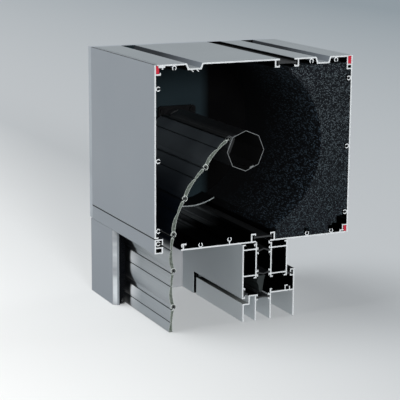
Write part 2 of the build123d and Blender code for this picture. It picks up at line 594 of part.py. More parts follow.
def frame_inner_section():
    x0, x1, t = BREAK[1], FRAME_IN, PROFILE
    return join(
        slab(x1 - t, x1, -FRAME_H_IN, -0.3), slab(x1 - 3.8, x1, -1.6, -0.3),
        slab(x1 - 3.8, x1, -FRAME_H_IN, -39.0),
        slab(x0 - 2.0, x1, -7.2, -5.8), slab(x0 - 2.0, x1, -36.8, -35.4),
        slab(x0, x0 + t, -40.2, -0.4),
        slab(x0 - 2.6, x0 + t, -1.6, -0.4), slab(x0 - 2.6, x0 - 1.3, -1.6, 1.4),
        slab(x0, x0 + 3.4, -40.2, -39.0),
        slab(x0 - 2.2, x0 + t, -11.6, -10.4), slab(x0 - 2.2, x0 - 1.0, -12.6, -10.4),
        slab(x0 - 2.2, x0 + t, -32.6, -31.4), slab(x0 - 2.2, x0 - 1.0, -32.6, -30.4),
        slab(x0 - 2.0, x0 - 0.8, -7.2, -4.6), slab(x0 - 2.0, x0 - 0.8, -38.2, -35.4),
    )


def strip_section(x0, x1, h, lean):
    """Thermal break strip of the window profiles, a little raised along its middle."""
    middle = (x0 + x1) / 2
    return join(slab(x0 + 0.1, x0 + 3.4, h - 1.1, h + 1.1), slab(x1 - 3.4, x1 - 0.1, h - 1.1, h + 1.1),
                strut(x0 + 2.6, h, middle + 0.4, h + lean, 1.3),
                strut(middle - 0.4, h + lean, x1 - 2.6, h, 1.3))


def central_gasket_section():
    """Rubber wedge that hangs from the frame's lower strip into the rebate."""
    return Polygon((124.2, -37.2), (133.0, -37.2), (131.4, -41.0), (130.6, -47.0), (129.6, -53.4),
                   (127.2, -56.6), (125.4, -54.0), (124.6, -48.0), (122.4, -43.4), (123.4, -40.4),
                   align=None)


def sash_outer_section():
    """Outdoor half of the sash, sawn off at the cut level."""
    x0, x1, t = SASH_OUT, BREAK[0], PROFILE
    foot = SASH_FOOT
    step_x = 112.6
    return join(
        slab(x0, x0 + t, foot, -SASH_STEP), slab(x0, step_x + t, -SASH_STEP - t, -SASH_STEP),
        slab(step_x, step_x + t, -SASH_STEP, -SASH_TOP), slab(step_x, x1 + 2.0, -SASH_TOP - t, -SASH_TOP),
        slab(x1 - t, x1, foot, -SASH_TOP), slab(x1 + 0.8, x1 + 2.0, -SASH_TOP - 2.6, -SASH_TOP),
        slab(x1 - t, x1 + 2.2, -65.2, -64.0), slab(x1 + 1.0, x1 + 2.2, -65.2, -63.4),
    )


def sash_inner_section():
    x0, x1, t = BREAK[1], SASH_IN, PROFILE
    foot = SASH_FOOT
    top = -57.0
    return join(
        slab(x0, x0 + t, foot, -53.4), slab(x0, x0 + 2.8, -54.6, -53.4), slab(x0, x1, top - t, top),
        slab(x1 - t, x1, foot, -SASH_OVERLAP), slab(x1 - 5.4, x1, -SASH_OVERLAP - 1.3, -SASH_OVERLAP),
        slab(x1 - 5.4, x1 - 4.2, -SASH_OVERLAP - 3.8, -SASH_OVERLAP),
        slab(x1 - 4.2, x1, -SASH_OVERLAP - 8.2, -SASH_OVERLAP - 7.0),
        slab(x1 - 5.4, x1 - 4.2, -SASH_OVERLAP - 8.2, -SASH_OVERLAP - 5.8),
        slab(x0 - 2.2, x0 + t, -60.6, -59.4), slab(x0 - 2.2, x0 - 1.0, -60.6, -58.2),
        slab(x0 - 2.2, x0 + t, -65.2, -64.0), slab(x0 - 2.2, x0 - 1.0, -65.2, -63.4),
        slab(157.6, 158.8, top, -51.4), slab(157.6, 161.4, -52.6, -51.4), slab(163.2, 164.4, top, -53.4),
    )


def mitre_cut(keep_head):
    """Everything on the head's side, or the jamb's side, of the 45 degree mitre plane."""
    reach = 400.0
    corner = (FRAME_END + 20.0, FRAME_TOP + 20.0)
    far = (corner[0] - reach, corner[1] - reach)
    third = (corner[0] - reach, corner[1]) if keep_head else (corner[0], corner[1] - reach)
    triangle = Plane.YZ.offset(-50) * Polygon(corner, far, third, align=None)
    return extrude(triangle, reach, dir=(1, 0, 0))


def head_and_jamb(section):
    """Mitred pair of the same profile: one along the window's top, one down its far side."""
    head = run(Pos(0, FRAME_TOP) * section, 0, FRAME_END + 10.0)
    jamb = rise(Pos(0, FRAME_END) * section, CUT_LEVEL, FRAME_TOP + 10.0)
    return head & mitre_cut(True), jamb & mitre_cut(False)


def frame_gasket_section():
    """Seal on the outdoor leg of the frame, which the sash's step closes against."""
    x0 = FRAME_OUT + PROFILE + 0.05
    return join(slab(x0, x0 + 2.0, -58.9, -51.9), slab(x0 + 1.6, x0 + 5.6, -57.6, -55.8))


def overlap_gasket_section():
    """Seal in the sash's overlap, which closes against the frame's indoor face."""
    x1 = SASH_IN - PROFILE - 0.05
    h = -SASH_OVERLAP - 4.8
    return join(slab(x1 - 2.6, x1, h - 2.1, h + 2.1), slab(FRAME_IN + GAP, x1 - 2.5, h - 0.9, h + 0.9))


# --- Sash hinge ---------------------------------------------------------------------------------------
def knuckle_span(index):
    length = (HINGE_TOP - HINGE_FOOT) / KNUCKLES
    return HINGE_FOOT + index * length, HINGE_FOOT + (index + 1) * length


def hinge_leaf(indices, plate):
    """Barrel sections of one leaf with their plate, which is trimmed clear of the other leaf."""
    leaf = None
    for index in indices:
        z0, z1 = knuckle_span(index)
        z0, z1 = z0 + 0.2, z1 - 0.2
        bore = Pos(HINGE_X, HINGE_Y) * Circle(HINGE_PIN_R + RUNNING)
        barrel = Pos(HINGE_X, HINGE_Y) * Circle(HINGE_R)
        piece = rise(join(barrel, plate) - bore, z0, z1)
        leaf = piece if leaf is None else leaf + piece
    return leaf


def frame_leaf():
    """Three knuckles and a leaf screwed to the frame jamb's indoor face."""
    arm = strut(HINGE_X - 3.6, HINGE_Y + 3.0, FRAME_IN + 1.4, HINGE_Y + 6.2, 2.4)
    leaf = hinge_leaf((0, 2, 4), arm)
    face = slab(FRAME_IN + 0.05, FRAME_IN + LEAF, HINGE_Y + 4.6, HINGE_Y + 22.0)
    plate = rise(face, HINGE_FOOT, HINGE_TOP)
    for z in HINGE_SCREW_LEVELS:
        plate -= Pos(FRAME_IN + 1.3, HINGE_Y + 14.0, z) * Rot(0, 90, 0) * Cylinder(2.1, 6)
    return leaf + plate


def sash_leaf():
    """Two knuckles and a leaf on the sash's indoor face."""
    arm = slab(HINGE_X - 3.0 + 0.05, HINGE_X, HINGE_Y - 8.0, HINGE_Y - 2.0)
    leaf = hinge_leaf((1, 3), arm)
    face = slab(SASH_IN + 0.05, SASH_IN + LEAF, HINGE_Y - 25.0, HINGE_Y - 6.4)
    plate = rise(face, HINGE_FOOT, HINGE_TOP)
    for z in HINGE_SCREW_LEVELS:
        plate -= Pos(SASH_IN + 1.3, HINGE_Y - 16.0, z) * Rot(0, 90, 0) * Cylinder(2.1, 6)
    return leaf + plate


def hinge_screws(x_face, y):
    """Button-head screws through a leaf into the profile's wall."""
    screws = []
    for z in HINGE_SCREW_LEVELS:
        head = Pos(x_face + LEAF + 0.9, y, z) * Rot(0, 90, 0) * Cylinder(3.4, 1.7)
        socket = Pos(x_face + LEAF + 1.0, y, z) * Rot(0, 90, 0) * extrude(RegularPolygon(1.5, 6), 2)
        shank = Pos(x_face + LEAF / 2 + 0.05, y, z) * Rot(0, 90, 0) * Cylinder(2.0, LEAF)
        screws.append(head + shank - socket)
    return screws


def hinge_pin():
    """Pin with a round cap at each end."""
    centre = Pos(HINGE_X, HINGE_Y, (HINGE_TOP + HINGE_FOOT) / 2)
    length = HINGE_TOP - HINGE_FOOT
    pin = centre * Cylinder(HINGE_PIN_R, length + 1.6)
    caps = [Pos(HINGE_X, HINGE_Y, z) * Cylinder(HINGE_R - 0.3, 1.6)
            for z in (HINGE_TOP + 1.4, HINGE_FOOT - 1.4)]
    return pin + caps[0] + caps[1]


# --- Write every node ---------------------------------------------------------------------------------
save("front_panel", front_panel())
save("front_lower_profile", front_lower_profile())
save("top_panel_outer", top_panel_outer())
save("top_panel_inner", top_panel_inner())
save("top_thermal_break", break_strip(*TOP_BREAK, -4.6))
save("rear_panel", rear_panel())
save("bottom_panel_outer", bottom_panel_outer())
save("bottom_panel_inner", bottom_panel_inner())
save("bottom_thermal_break", break_strip(*BOTTOM_BREAK, -194.4))
for name, seal in zip(("outdoor_top_seal", "indoor_top_seal", "indoor_bottom_seal"), corner_seals()):
    save(name, seal)
save("insulation_block", insulation_block())
save("end_cap", end_cap())
save("inlet_horn", inlet_horn())
save("end_cap_screws", *end_cap_screws())

save("octagonal_tube", octagonal_tube())
save("hook_rail", hook_rail())
save("drive_wheel", drive_wheel())
save("motor_crown", motor_crown())
save("output_shaft", output_shaft())
save("motor_housing", motor_housing())
save("motor_drive_unit", motor_drive_unit())
save("motor_head", motor_head())
save("limit_screw_up", limit_screw(LIMIT_SCREWS[0]))
save("limit_screw_down", limit_screw(LIMIT_SCREWS[1]))
save("motor_bracket", motor_bracket())
save("motor_bracket_screws", *motor_bracket_screws())

lower_foam = []
for number in range(1, 7):
    skin, core = slat(number)
    save(f"slat_{number}_skin", skin)
    if number <= 3:
        save(f"slat_{number}_foam", core)
    else:
        lower_foam.append(core)
save("lower_slats_foam", *lower_foam)

save("guide_rail", guide_rail())
save("guide_inlet", guide_inlet())
save("guide_brushes", *guide_brushes())

for side, section in (("outer", frame_outer_section()), ("inner", frame_inner_section())):
    head, jamb = head_and_jamb(section)
    save(f"frame_head_{side}", head)
    save(f"frame_jamb_{side}", jamb)
frame_strips = [piece for h, lean in ((-9.0, 2.2), (-34.0, -1.6))
                for piece in head_and_jamb(strip_section(*BREAK, h, lean))]
save("frame_thermal_strips", *frame_strips)
save("central_gasket", *head_and_jamb(central_gasket_section()))
save("frame_gasket", *head_and_jamb(frame_gasket_section()))

for side, section in (("outer", sash_outer_section()), ("inner", sash_inner_section())):
    rail, stile = head_and_jamb(section)
    save(f"sash_rail_{side}", rail)
    save(f"sash_stile_{side}", stile)
save("sash_thermal_strips", *head_and_jamb(strip_section(*BREAK, -62.2, 0.4)))
save("sash_overlap_gasket", *head_and_jamb(overlap_gasket_section()))

save("hinge_frame_leaf", frame_leaf())
save("hinge_sash_leaf", sash_leaf())
save("hinge_pin", hinge_pin())
save("hinge_screws_frame", *hinge_screws(FRAME_IN, HINGE_Y + 14.0))
save("hinge_screws_sash", *hinge_screws(SASH_IN, HINGE_Y - 16.0))
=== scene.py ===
import bpy
import bmesh
import json
import math
import random
from mathutils import Matrix, Vector


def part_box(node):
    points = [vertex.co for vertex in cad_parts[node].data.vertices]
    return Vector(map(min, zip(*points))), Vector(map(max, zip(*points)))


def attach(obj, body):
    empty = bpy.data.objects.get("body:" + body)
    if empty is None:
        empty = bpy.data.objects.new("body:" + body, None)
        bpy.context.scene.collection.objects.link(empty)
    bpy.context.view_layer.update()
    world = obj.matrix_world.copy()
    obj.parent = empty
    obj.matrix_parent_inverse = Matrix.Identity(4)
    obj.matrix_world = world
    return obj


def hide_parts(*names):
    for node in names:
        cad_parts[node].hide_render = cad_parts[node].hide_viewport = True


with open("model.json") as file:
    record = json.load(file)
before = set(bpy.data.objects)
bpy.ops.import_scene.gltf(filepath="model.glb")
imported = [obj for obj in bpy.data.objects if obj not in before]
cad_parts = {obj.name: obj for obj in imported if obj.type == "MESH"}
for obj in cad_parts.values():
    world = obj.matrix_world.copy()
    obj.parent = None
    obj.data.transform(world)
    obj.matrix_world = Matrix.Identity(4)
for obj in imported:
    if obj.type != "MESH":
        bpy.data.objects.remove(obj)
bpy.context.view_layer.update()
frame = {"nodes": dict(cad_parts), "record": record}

# A cut-away roller shutter box on a window corner. Metres; +X runs indoors, +Y away from the cut end, +Z up.
MM = 0.001
CUT_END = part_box("front_panel")[0].y               # the sawn end of every extrusion
SAWN_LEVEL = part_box("guide_rail")[0].z             # where guide, frame and sash are sawn off
GUIDE_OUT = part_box("guide_rail")[0].x              # outdoor face of the guide rail
GUIDE_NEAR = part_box("guide_rail")[0].y             # where the guide rail begins
BOX_LOW = Vector((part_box("front_panel")[0].x, CUT_END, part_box("bottom_panel_outer")[0].z))
BOX_HIGH = Vector((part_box("rear_panel")[1].x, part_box("front_panel")[1].y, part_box("top_panel_outer")[1].z))
SLAT_PITCH = 40 * MM                               # from a slat's upper pivot to its lower one
SLAT_CREASE = 17 * MM                              # from a slat's upper pivot to its crease
TOP_LEAN = math.radians(46)                        # slope of the top slat
FLAT = 0.9                                         # least part of a normal along the axis a face looks along


# --- Material helpers ---------------------------------------------------------------------------------
class Shader:
    """A Principled material whose nodes are added one call at a time."""

    def __init__(self, name, roughness=0.5, metallic=0.0, **sockets):
        self.material = bpy.data.materials.new(name)
        self.material.use_nodes = True
        self.tree = self.material.node_tree
        self.bsdf = self.tree.nodes["Principled BSDF"]
        self.bsdf.inputs["Roughness"].default_value = roughness
        self.bsdf.inputs["Metallic"].default_value = metallic
        for socket, value in sockets.items():
            self.bsdf.inputs[socket.replace("_", " ")].default_value = value
        source = self.tree.nodes.new("ShaderNodeTexCoord")
        self.place = source.outputs["Object"]
        self.x, self.y, self.z = self.split(self.place)
        self.normal_x, self.normal_y, self.normal_z = self.split(source.outputs["Normal"])

    def add(self, kind, inputs, output=0, **settings):
        """One node: inputs by number or name, each a value or another node's socket."""
        made = self.tree.nodes.new("ShaderNode" + kind)
        for key, value in settings.items():
            setattr(made, key, value)
        for key, value in inputs.items():
            self.feed(made.inputs[key], value)
        return made.outputs[output]

    def feed(self, socket, value):
        """Links another node's socket to this one, or sets its value."""
        if isinstance(value, bpy.types.NodeSocket):
            self.tree.links.new(value, socket)
        else:
            socket.default_value = value

    def math(self, operation, first, second=0.0, clamp=False):
        return self.add("Math", {0: first, 1: second}, operation=operation, use_clamp=clamp)

    def split(self, vector):
        """The vector's three parts."""
        made = self.tree.nodes.new("ShaderNodeSeparateXYZ")
        self.feed(made.inputs[0], vector)
        return made.outputs

    def above(self, value, level):
        """1 where value is over level, else 0."""
        return self.math("GREATER_THAN", value, level)

    def below(self, value, level):
        """1 where value is under level, else 0."""
        return self.math("LESS_THAN", value, level)

    def times(self, first, *others):
        """Product of its arguments; of shares, 1 only where all of them are 1."""
        for other in others:
            first = self.math("MULTIPLY", first, other)
        return first

    def either(self, first, second):
        """The larger of two shares."""
        return self.math("MAXIMUM", first, second)

    def distance(self, value, level):
        """How far value is from level, either way."""
        return self.math("ABSOLUTE", self.math("SUBTRACT", value, level))

    def radius(self, centre):
        """Distance from an axis along Y through centre."""
        away = self.add("VectorMath", {0: self.place, 1: centre}, operation="SUBTRACT")
        away = self.add("VectorMath", {0: away, 1: (1.0, 0.0, 1.0)}, operation="MULTIPLY")
        return self.add("VectorMath", {0: away}, output="Value", operation="LENGTH")

    def stretched(self, scale):
        """Object coordinates with each axis scaled, for grain that runs one way."""
        return self.add("Mapping", {"Vector": self.place, "Scale": scale})

    def grain(self, scale, detail=3.0, place=None):
        """Soft noise from 0 to 1; scale is in features per metre."""
        source = self.place if place is None else place
        return self.add("TexNoise", {"Vector": source, "Scale": scale, "Detail": detail, "Roughness": 0.55})

    def cells(self, scale, output="Distance", feature="F1", place=None):
        """Cell pattern; scale is in cells per metre."""
        source = self.place if place is None else place
        return self.add("TexVoronoi", {"Vector": source, "Scale": scale}, output=output, feature=feature)

    def ramp(self, value, low, high, to_low=0.0, to_high=1.0):
        """Maps low..high to to_low..to_high, clamped."""
        inputs = {"Value": value, "From Min": low, "From Max": high, "To Min": to_low, "To Max": to_high}
        return self.add("MapRange", inputs)

    def blend(self, share, first, second):
        """The first colour at share 0, the second at share 1."""
        return self.add("Mix", {0: share, 6: first, 7: second}, output=2, data_type="RGBA")

    def colour(self, value):
        self.feed(self.bsdf.inputs["Base Color"], value)

    def roughness(self, value):
        self.feed(self.bsdf.inputs["Roughness"], value)

    def bump(self, height, strength, distance):
        """Relief; distance is its depth in metres."""
        made = self.add("Bump", {"Height": height, "Strength": strength, "Distance": distance})
        self.feed(self.bsdf.inputs["Normal"], made)

    def facing_out(self, normal, value, level):
        """1 on faces that look the negative way along an axis and lie at the given level of it, else 0."""
        return self.times(self.below(normal, -FLAT), self.below(self.distance(value, level), 0.7 * MM))

    def within(self, low, high):
        """1 inside the span from low to high along X and Z, else 0; low and high are points."""
        return self.times(self.above(self.x, low.x), self.below(self.x, high.x),
                          self.above(self.z, low.z), self.below(self.z, high.z))

    def sawn_end(self):
        """1 where the extrusions are sawn across, else 0."""
        return self.either(self.facing_out(self.normal_y, self.y, CUT_END),
                           self.facing_out(self.normal_z, self.z, SAWN_LEVEL))


def rgb(red, green, blue):
    """Linear colour with full opacity."""
    return (red, green, blue, 1.0)


def scaled(tint, share):
    """A tint made lighter or darker."""
    return rgb(*(part * share for part in tint))


# --- Materials ----------------------------------------------------------------------------------------
def powder_coat(name, tint, hidden=None, open_above=None, far_floor=None, bevel=False, seam=None,
                ledges=False):
    """Satin powder coat with fine orange peel, bare brushed metal where sawn, painted shade near black in its
    hollows, painted light on faces that look up and painted shade on faces that look outdoors.

    hidden is the span of the hollows that get painted shade. Faces above open_above that look up get painted
    daylight. far_floor is the level below which the hollows get painted light towards their far end. bevel
    paints a highlight on a slanted nose. seam is the level of a joint line darkened with painted shade. ledges
    paints shade on the faces that look up in a hollow's span.
    """
    shader = Shader(name, roughness=0.42, Specular_IOR_Level=0.4)
    drift = shader.grain(9.0, 2.0)
    speck = shader.grain(1400.0, 2.0)
    coat = shader.blend(shader.ramp(drift, 0.35, 0.65), scaled(tint, 0.95), scaled(tint, 1.05))
    coat = shader.blend(shader.ramp(speck, 0.55, 0.75, 0.0, 0.25), coat, scaled(tint, 0.8))
    # painted light: faces that look up are made lighter
    upward_light = rgb(tint[0] * 1.20, tint[1] * 1.17, tint[2] * 1.09)
    coat = shader.blend(shader.above(shader.normal_z, FLAT), coat, upward_light)
    # painted shade: faces that look outdoors are made darker
    outdoor_shade = shader.below(shader.normal_x, -FLAT)
    coat = shader.blend(shader.times(outdoor_shade, 0.8), coat, scaled(tint, 0.86))
    gloss = shader.ramp(drift, 0.3, 0.7, 0.38, 0.46)
    if bevel:
        coat = bright_nose(shader, coat)
    if hidden:
        inside = hollow_share(shader, hidden, open_above, ledges)
        # painted shade: near black colour for the hollows
        shade = rgb(0.002, 0.0022, 0.0025)
        # painted light: the hollows' floor gets lighter towards the far end
        if far_floor is not None:
            shade = shader.blend(far_floor_share(shader, far_floor), shade, rgb(0.20, 0.22, 0.23))
        coat = shader.blend(inside, coat, shade)
        gloss = shader.math("ADD", gloss, shader.times(inside, 0.3))
    if seam is not None:
        # painted shade: a dark line along the seam between front panel and lower profile
        seam_shade = shader.ramp(shader.distance(shader.z, seam), 0.5 * MM, 1.1 * MM, 1.0, 0.0)
        coat = shader.blend(seam_shade, coat, rgb(0.02, 0.024, 0.028))
    sawn = shader.sawn_end()
    if hidden:
        # metallic where the painted shade lies, so the hollows reflect nothing
        shader.feed(shader.bsdf.inputs["Metallic"], shader.math("SUBTRACT", inside, sawn, clamp=True))
    marks = shader.grain(30.0, 4.0, place=shader.stretched((3.0, 3.0, 90.0)))
    bare = shader.blend(shader.ramp(marks, 0.3, 0.7), rgb(0.42, 0.435, 0.44), rgb(0.58, 0.595, 0.60))
    shader.colour(shader.blend(sawn, coat, bare))
    shader.roughness(gloss)
    shader.bump(speck, 0.12, 0.2 * MM)
    return shader.material


def bright_nose(shader, coat):
    """Paints a streaky highlight on the guide rail's slanted nose and painted light on its faces towards the
    cut end, with a darker line of painted shade on the slot's lip.
    """
    # painted light on the faces that look towards the cut end
    coat = shader.blend(shader.below(shader.normal_y, -FLAT), coat, rgb(0.25, 0.255, 0.262))
    slanted = shader.times(shader.below(shader.normal_x, -0.25), shader.below(shader.normal_y, -0.25))
    streaks = shader.grain(30.0, 3.0, place=shader.stretched((0.2, 0.2, 1.0)))
    bright = shader.blend(shader.ramp(streaks, 0.4, 0.6), rgb(0.165, 0.175, 0.185), rgb(0.46, 0.48, 0.495))
    coat = shader.blend(slanted, coat, bright)
    # painted shade on the slot's lip
    lips = shader.times(shader.above(shader.x, GUIDE_OUT + 4.3 * MM),
                       shader.below(shader.y, GUIDE_NEAR + 3 * MM))
    return shader.blend(lips, coat, rgb(0.17, 0.185, 0.20))


def hollow_share(shader, hidden, open_above, ledges):
    """Share of painted shade: 1 in the hollows, less where painted daylight reaches, 0 on faces that look away
    from the sawn end.
    """
    inside = shader.within(*hidden)
    inside = shader.math("SUBTRACT", inside, shader.above(shader.normal_y, 0.5), clamp=True)
    if open_above is not None:
        # painted daylight: upward faces high in the box keep less of the painted shade, most near the sawn end
        floor = shader.times(shader.above(shader.normal_z, 0.2), shader.above(shader.z, open_above))
        daylight = shader.ramp(shader.y, CUT_END, CUT_END + 110 * MM, 0.85, 0.2)
        inside = shader.math("SUBTRACT", inside, shader.times(floor, daylight), clamp=True)
        # painted shade stays on the upward faces by the outdoor corner
        corner = shader.times(floor, shader.below(shader.x, BOX_LOW.x + 2 * MM))
        inside = shader.either(inside, shader.times(corner, 0.85))
    if ledges:
        # painted shade on the faces that look up, less near the sawn end
        depth = shader.ramp(shader.y, CUT_END, CUT_END + 120 * MM, 0.6, 1.0)
        ledge = shader.times(shader.above(shader.normal_z, 0.5), depth, shader.above(shader.x, hidden[0].x))
        inside = shader.either(inside, ledge)
    return inside


def far_floor_share(shader, level):
    """How much painted light lightens the outdoor half of the box's floor towards its far end, in strips along
    Y.
    """
    depth = shader.ramp(shader.y, CUT_END + 80 * MM, CUT_END + 165 * MM)
    outdoor = shader.ramp(shader.x, BOX_LOW.x + 112 * MM, BOX_LOW.x + 136 * MM, 1.0, 0.0)
    strips = shader.grain(40.0, 2.0, place=shader.stretched((6.0, 0.05, 0.05)))
    strips = shader.ramp(strips, 0.4, 0.6, 0.25, 1.0)
    return shader.times(depth, shader.below(shader.z, level), outdoor, strips)


def slat_skin(name, head, along):
    """Roll-formed, coated slat: faint lengthwise rolling lines, painted shade in the crease, round the joints
    and beside the guide rail, a painted highlight near the guide, painted shade inside the box.

    head is the slat's upper pivot and along the direction from it to the lower one.
    """
    shader = Shader(name, roughness=0.3, Specular_IOR_Level=0.45)
    lines = shader.grain(60.0, 3.0, place=shader.stretched((14.0, 0.25, 14.0)))
    drift = shader.grain(12.0, 2.0)
    coat = shader.blend(shader.ramp(lines, 0.35, 0.65), rgb(0.26, 0.29, 0.31), rgb(0.31, 0.335, 0.355))
    fall = shader.ramp(shader.z, BOX_LOW.z - 20 * MM, BOX_LOW.z - 70 * MM)
    coat = shader.blend(fall, coat, rgb(0.225, 0.25, 0.27))
    down_x = shader.times(shader.math("SUBTRACT", shader.x, head.x), along.x)
    down_z = shader.times(shader.math("SUBTRACT", shader.z, head.z), along.z)
    down = shader.math("ADD", down_x, down_z)           # distance below the upper pivot
    # painted highlight: the slat's upper part lightens near the guide rail
    glow = shader.times(shader.ramp(down, 12 * MM, 34 * MM, 0.9, 0.0),
                       shader.ramp(shader.y, GUIDE_NEAR - 38 * MM, GUIDE_NEAR - 8 * MM))
    coat = shader.blend(shader.math("POWER", glow, 1.5), coat, rgb(0.86, 0.88, 0.90))
    # painted shade on the slats inside the box
    boxed = shader.ramp(shader.z, BOX_LOW.z - 2 * MM, BOX_LOW.z + 12 * MM)
    coat = shader.blend(boxed, coat, slat_box_shade(shader))
    # painted shade in the crease and round both joints
    crease = shader.below(shader.distance(down, SLAT_CREASE), 0.55 * MM)
    dark = shader.either(crease, shader.below(down, 3.2 * MM))
    from_foot = shader.radius(head + along * SLAT_PITCH)
    dark = shader.either(dark, shader.below(from_foot, 2.8 * MM))
    dark = shader.either(dark, shader.times(guide_shadow(shader, down), shader.math("SUBTRACT", 1.0, boxed)))
    coat = shader.blend(dark, coat, rgb(0.006, 0.007, 0.008))
    edge = shader.blend(shader.ramp(shader.grain(900.0, 2.0), 0.35, 0.65), rgb(0.17, 0.19, 0.175),
                        rgb(0.33, 0.35, 0.33))
    eye = shader.ramp(from_foot, 3.0 * MM, 3.6 * MM, 1.0, 0.0)
    edge = shader.blend(eye, edge, rgb(0.40, 0.42, 0.40))
    # painted shade on the bead's sawn face, so the eye reads as hollow
    bead_face_shade = shader.ramp(shader.radius(head), 1.2 * MM, 1.7 * MM, 1.0, 0.0)
    edge = shader.blend(bead_face_shade, edge, rgb(0.008, 0.009, 0.010))
    shader.colour(shader.blend(shader.sawn_end(), coat, edge))
    shader.roughness(shader.ramp(drift, 0.3, 0.7, 0.28, 0.38))
    shader.bump(lines, 0.08, 0.15 * MM)
    return shader.material


def slat_box_shade(shader):
    """Painted shade on the slats inside the box: almost black, with painted light in patches high up."""
    patches = shader.ramp(shader.grain(14.0, 2.0), 0.35, 0.65, 0.5, 1.0)
    lit = shader.times(shader.ramp(shader.z, BOX_LOW.z + 50 * MM, BOX_LOW.z + 95 * MM), patches)
    return shader.blend(lit, rgb(0.003, 0.005, 0.009), rgb(0.062, 0.072, 0.080))


def guide_shadow(shader, down):
    """1 beside the guide rail, reaching further out towards the foot of each slat, where it curves away."""
    reach = shader.times(shader.math("POWER", shader.math("DIVIDE", down, 37 * MM), 3.0), 14 * MM)
    from_guide = shader.math("SUBTRACT", GUIDE_NEAR, shader.y)
    return shader.ramp(shader.math("SUBTRACT", from_guide, reach), 2.5 * MM, 7.5 * MM, 1.0, 0.0)


def slat_foam(name):
    """Injected polyurethane: closed cells, sawn across at the near end."""
    shader = Shader(name, roughness=0.9, Specular_IOR_Level=0.2)
    cell = shader.cells(1500.0)
    patch = shader.grain(500.0, 3.0)
    base = shader.blend(shader.ramp(patch, 0.4, 0.6), rgb(0.065, 0.078, 0.066), rgb(0.17, 0.19, 0.165))
    shader.colour(shader.blend(shader.ramp(cell, 0.1, 0.6, 0.0, 0.6), base, rgb(0.05, 0.06, 0.05)))
    shader.bump(cell, 0.6, 0.3 * MM)
    return shader.material


def bead_foam(name):
    """Graphite bead foam: dark beads drawn out along Y, painted glints on the cell walls, pits, painted shade
    further in.
    """
    shader = Shader(name, roughness=0.9, Specular_IOR_Level=0.15)
    place = shader.stretched((1.0, 0.35, 1.0))
    tone = shader.split(shader.cells(620.0, output="Color", place=place))[0]
    wall = shader.cells(620.0, feature="DISTANCE_TO_EDGE", place=place)
    glint = shader.split(shader.cells(1000.0, output="Color", place=place))[1]
    pits = shader.grain(900.0, 2.0, place=place)
    cut = shader.facing_out(shader.normal_y, shader.y, CUT_END)
    # the cut face's glints are darker towards the bottom
    height = shader.ramp(shader.z, BOX_LOW.z + 20 * MM, BOX_HIGH.z - 60 * MM)
    cut_shine = shader.blend(height, rgb(0.034, 0.048, 0.056), rgb(0.060, 0.074, 0.082))
    # painted light: the glints on the curved face are brighter than on the cut face
    shine = shader.blend(cut, rgb(0.070, 0.105, 0.140), cut_shine)
    body = shader.blend(shader.ramp(tone, 0.25, 1.0), rgb(0.0008, 0.0012, 0.0025), rgb(0.008, 0.011, 0.014))
    body = shader.blend(shader.ramp(glint, 0.70, 0.78), body, shine)
    body = shader.blend(shader.ramp(pits, 0.53, 0.60), body, rgb(0.001, 0.0015, 0.003))
    body = shader.blend(shader.ramp(wall, 0.0, 0.1, 1.0, 0.0), body, rgb(0.002, 0.003, 0.004))
    # painted shade: darker further into the box
    depth = shader.ramp(shader.y, CUT_END, CUT_END + 140 * MM, 0.0, 0.97)
    shader.colour(shader.blend(depth, body, rgb(0.0006, 0.0010, 0.0016)))
    shader.bump(wall, 0.5, 0.6 * MM)
    return shader.material


def end_cap_plastic(name, tint):
    """Grey moulded plastic, with painted shade near black on the face that closes the box, a little less dark
    on its outdoor part.
    """
    shader = Shader(name, roughness=0.5, Specular_IOR_Level=0.05)
    texture = shader.cells(1700.0)
    drift = shader.grain(25.0, 3.0)
    shade = shader.blend(shader.ramp(drift, 0.3, 0.7), scaled(tint, 0.9), scaled(tint, 1.06))
    # painted shade on the face that closes the box
    inner = shader.facing_out(shader.normal_y, shader.y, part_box("end_cap")[0].y)
    outdoors = shader.ramp(shader.x, BOX_LOW.x + 138 * MM, BOX_LOW.x + 150 * MM, 1.0, 0.0)
    hollow = shader.blend(outdoors, rgb(0.0004, 0.0004, 0.0005), rgb(0.009, 0.015, 0.018))
    shader.colour(shader.blend(inner, shade, hollow))
    gloss = shader.ramp(drift, 0.3, 0.7, 0.44, 0.56)
    shader.roughness(shader.math("ADD", gloss, shader.times(inner, 0.4)))
    shader.bump(texture, 0.15, 0.12 * MM)
    return shader.material


def horn_plastic(name):
    """Black moulded plastic with a painted highlight on its near edge."""
    shader = Shader(name, roughness=0.6, Specular_IOR_Level=0.1)
    mottle = shader.grain(300.0, 3.0)
    # painted highlight on the near edge
    edge = shader.facing_out(shader.normal_y, shader.y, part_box("inlet_horn")[0].y)
    edge_highlight = shader.blend(shader.ramp(mottle, 0.3, 0.7), rgb(0.15, 0.17, 0.17), rgb(0.26, 0.28, 0.28))
    black = shader.blend(shader.ramp(mottle, 0.3, 0.7), rgb(0.0015, 0.0015, 0.002), rgb(0.003, 0.003, 0.0035))
    shader.colour(shader.blend(edge, black, edge_highlight))
    shader.roughness(shader.ramp(mottle, 0.3, 0.7, 0.5, 0.7))
    shader.bump(mottle, 0.1, 0.1 * MM)
    return shader.material


